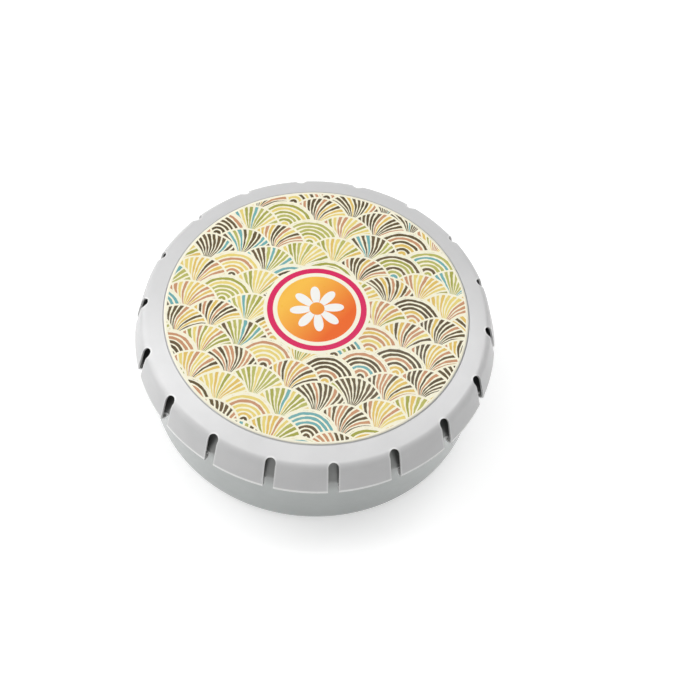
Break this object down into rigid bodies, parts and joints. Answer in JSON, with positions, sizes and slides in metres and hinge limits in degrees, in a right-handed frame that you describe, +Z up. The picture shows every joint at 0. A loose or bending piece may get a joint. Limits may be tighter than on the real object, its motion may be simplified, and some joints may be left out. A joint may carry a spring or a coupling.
{
  "type": "round click mint tin",
  "caption": "Round tinplate mint tin whose slotted lid grips a bead on the base and is freed by pressing its domed top, with loose round mints inside.",
  "frame": {"origin": "centre of the foot ring, on the surface the tin stands on", "axes": "+Z up along the tin's axis; +X through the middle of the first skirt finger, with the slots half a pitch to either side"},
  "size_m": [0.05, 0.05, 0.0184],
  "materials": {
    "tinplate_base": "satin",
    "tinplate_lid": "satin",
    "printed_label": "gloss",
    "mint": "matte"
  },
  "bodies": {
    "base": {"base_pan": "tinplate_base"},
    "mints": {"mints_lower_layer": "mint", "mints_upper_layer": "mint"},
    "lid": {"lid_ring": "tinplate_lid"},
    "panel": {"lid_panel": "tinplate_lid", "lid_label": "printed_label"},
    "finger_01": {"skirt_finger_01": "tinplate_lid"},
    "finger_02": {"skirt_finger_02": "tinplate_lid"},
    "finger_03": {"skirt_finger_03": "tinplate_lid"},
    "finger_04": {"skirt_finger_04": "tinplate_lid"},
    "finger_05": {"skirt_finger_05": "tinplate_lid"},
    "finger_06": {"skirt_finger_06": "tinplate_lid"},
    "finger_07": {"skirt_finger_07": "tinplate_lid"},
    "finger_08": {"skirt_finger_08": "tinplate_lid"},
    "finger_09": {"skirt_finger_09": "tinplate_lid"},
    "finger_10": {"skirt_finger_10": "tinplate_lid"},
    "finger_11": {"skirt_finger_11": "tinplate_lid"},
    "finger_12": {"skirt_finger_12": "tinplate_lid"},
    "finger_13": {"skirt_finger_13": "tinplate_lid"},
    "finger_14": {"skirt_finger_14": "tinplate_lid"},
    "finger_15": {"skirt_finger_15": "tinplate_lid"},
    "finger_16": {"skirt_finger_16": "tinplate_lid"},
    "finger_17": {"skirt_finger_17": "tinplate_lid"},
    "finger_18": {"skirt_finger_18": "tinplate_lid"}
  },
  "joints": [
    {"name": "lid_lift", "type": "slide", "parent": "base", "child": "lid", "axis": [0, 0, 1], "range_m": [0, 0.03]},
    {"name": "panel_press", "type": "slide", "parent": "lid", "child": "panel", "axis": [0, 0, -1], "range_m": [0, 0.0014]},
    {"name": "mints_rattle", "type": "slide", "parent": "base", "child": "mints", "axis": [0, 0, 1], "range_m": [0, 0.005]},
    {"name": "finger_01_splay", "type": "hinge", "parent": "lid", "child": "finger_01", "pos_m": [0.02413, 0, 0.01569], "axis": [0, -1, 0], "range_deg": [0, 6]},
    {"name": "finger_02_splay", "type": "hinge", "parent": "lid", "child": "finger_02", "pos_m": [0.02268, 0.00825, 0.01569], "axis": [0.342, -0.9397, 0], "range_deg": [0, 6]},
    {"name": "finger_03_splay", "type": "hinge", "parent": "lid", "child": "finger_03", "pos_m": [0.01849, 0.01551, 0.01569], "axis": [0.6428, -0.766, 0], "range_deg": [0, 6]},
    {"name": "finger_04_splay", "type": "hinge", "parent": "lid", "child": "finger_04", "pos_m": [0.01207, 0.0209, 0.01569], "axis": [0.866, -0.5, 0], "range_deg": [0, 6]},
    {"name": "finger_05_splay", "type": "hinge", "parent": "lid", "child": "finger_05", "pos_m": [0.00419, 0.02376, 0.01569], "axis": [0.9848, -0.1736, 0], "range_deg": [0, 6]},
    {"name": "finger_06_splay", "type": "hinge", "parent": "lid", "child": "finger_06", "pos_m": [-0.00419, 0.02376, 0.01569], "axis": [0.9848, 0.1736, 0], "range_deg": [0, 6]},
    {"name": "finger_07_splay", "type": "hinge", "parent": "lid", "child": "finger_07", "pos_m": [-0.01207, 0.0209, 0.01569], "axis": [0.866, 0.5, 0], "range_deg": [0, 6]},
    {"name": "finger_08_splay", "type": "hinge", "parent": "lid", "child": "finger_08", "pos_m": [-0.01849, 0.01551, 0.01569], "axis": [0.6428, 0.766, 0], "range_deg": [0, 6]},
    {"name": "finger_09_splay", "type": "hinge", "parent": "lid", "child": "finger_09", "pos_m": [-0.02268, 0.00825, 0.01569], "axis": [0.342, 0.9397, 0], "range_deg": [0, 6]},
    {"name": "finger_10_splay", "type": "hinge", "parent": "lid", "child": "finger_10", "pos_m": [-0.02413, 0, 0.01569], "axis": [0, 1, 0], "range_deg": [0, 6]},
    {"name": "finger_11_splay", "type": "hinge", "parent": "lid", "child": "finger_11", "pos_m": [-0.02268, -0.00825, 0.01569], "axis": [-0.342, 0.9397, 0], "range_deg": [0, 6]},
    {"name": "finger_12_splay", "type": "hinge", "parent": "lid", "child": "finger_12", "pos_m": [-0.01849, -0.01551, 0.01569], "axis": [-0.6428, 0.766, 0], "range_deg": [0, 6]},
    {"name": "finger_13_splay", "type": "hinge", "parent": "lid", "child": "finger_13", "pos_m": [-0.01207, -0.0209, 0.01569], "axis": [-0.866, 0.5, 0], "range_deg": [0, 6]},
    {"name": "finger_14_splay", "type": "hinge", "parent": "lid", "child": "finger_14", "pos_m": [-0.00419, -0.02376, 0.01569], "axis": [-0.9848, 0.1736, 0], "range_deg": [0, 6]},
    {"name": "finger_15_splay", "type": "hinge", "parent": "lid", "child": "finger_15", "pos_m": [0.00419, -0.02376, 0.01569], "axis": [-0.9848, -0.1736, 0], "range_deg": [0, 6]},
    {"name": "finger_16_splay", "type": "hinge", "parent": "lid", "child": "finger_16", "pos_m": [0.01207, -0.0209, 0.01569], "axis": [-0.866, -0.5, 0], "range_deg": [0, 6]},
    {"name": "finger_17_splay", "type": "hinge", "parent": "lid", "child": "finger_17", "pos_m": [0.01849, -0.01551, 0.01569], "axis": [-0.6428, -0.766, 0], "range_deg": [0, 6]},
    {"name": "finger_18_splay", "type": "hinge", "parent": "lid", "child": "finger_18", "pos_m": [0.02268, -0.00825, 0.01569], "axis": [-0.342, -0.9397, 0], "range_deg": [0, 6]}
  ],
  "couplings": [
    {"joint": "finger_01_splay", "follows": "panel_press", "rad_per_m": 74.7},
    {"joint": "finger_02_splay", "follows": "panel_press", "rad_per_m": 74.7},
    {"joint": "finger_03_splay", "follows": "panel_press", "rad_per_m": 74.7},
    {"joint": "finger_04_splay", "follows": "panel_press", "rad_per_m": 74.7},
    {"joint": "finger_05_splay", "follows": "panel_press", "rad_per_m": 74.7},
    {"joint": "finger_06_splay", "follows": "panel_press", "rad_per_m": 74.7},
    {"joint": "finger_07_splay", "follows": "panel_press", "rad_per_m": 74.7},
    {"joint": "finger_08_splay", "follows": "panel_press", "rad_per_m": 74.7},
    {"joint": "finger_09_splay", "follows": "panel_press", "rad_per_m": 74.7},
    {"joint": "finger_10_splay", "follows": "panel_press", "rad_per_m": 74.7},
    {"joint": "finger_11_splay", "follows": "panel_press", "rad_per_m": 74.7},
    {"joint": "finger_12_splay", "follows": "panel_press", "rad_per_m": 74.7},
    {"joint": "finger_13_splay", "follows": "panel_press", "rad_per_m": 74.7},
    {"joint": "finger_14_splay", "follows": "panel_press", "rad_per_m": 74.7},
    {"joint": "finger_15_splay", "follows": "panel_press", "rad_per_m": 74.7},
    {"joint": "finger_16_splay", "follows": "panel_press", "rad_per_m": 74.7},
    {"joint": "finger_17_splay", "follows": "panel_press", "rad_per_m": 74.7},
    {"joint": "finger_18_splay", "follows": "panel_press", "rad_per_m": 74.7}
  ]
}
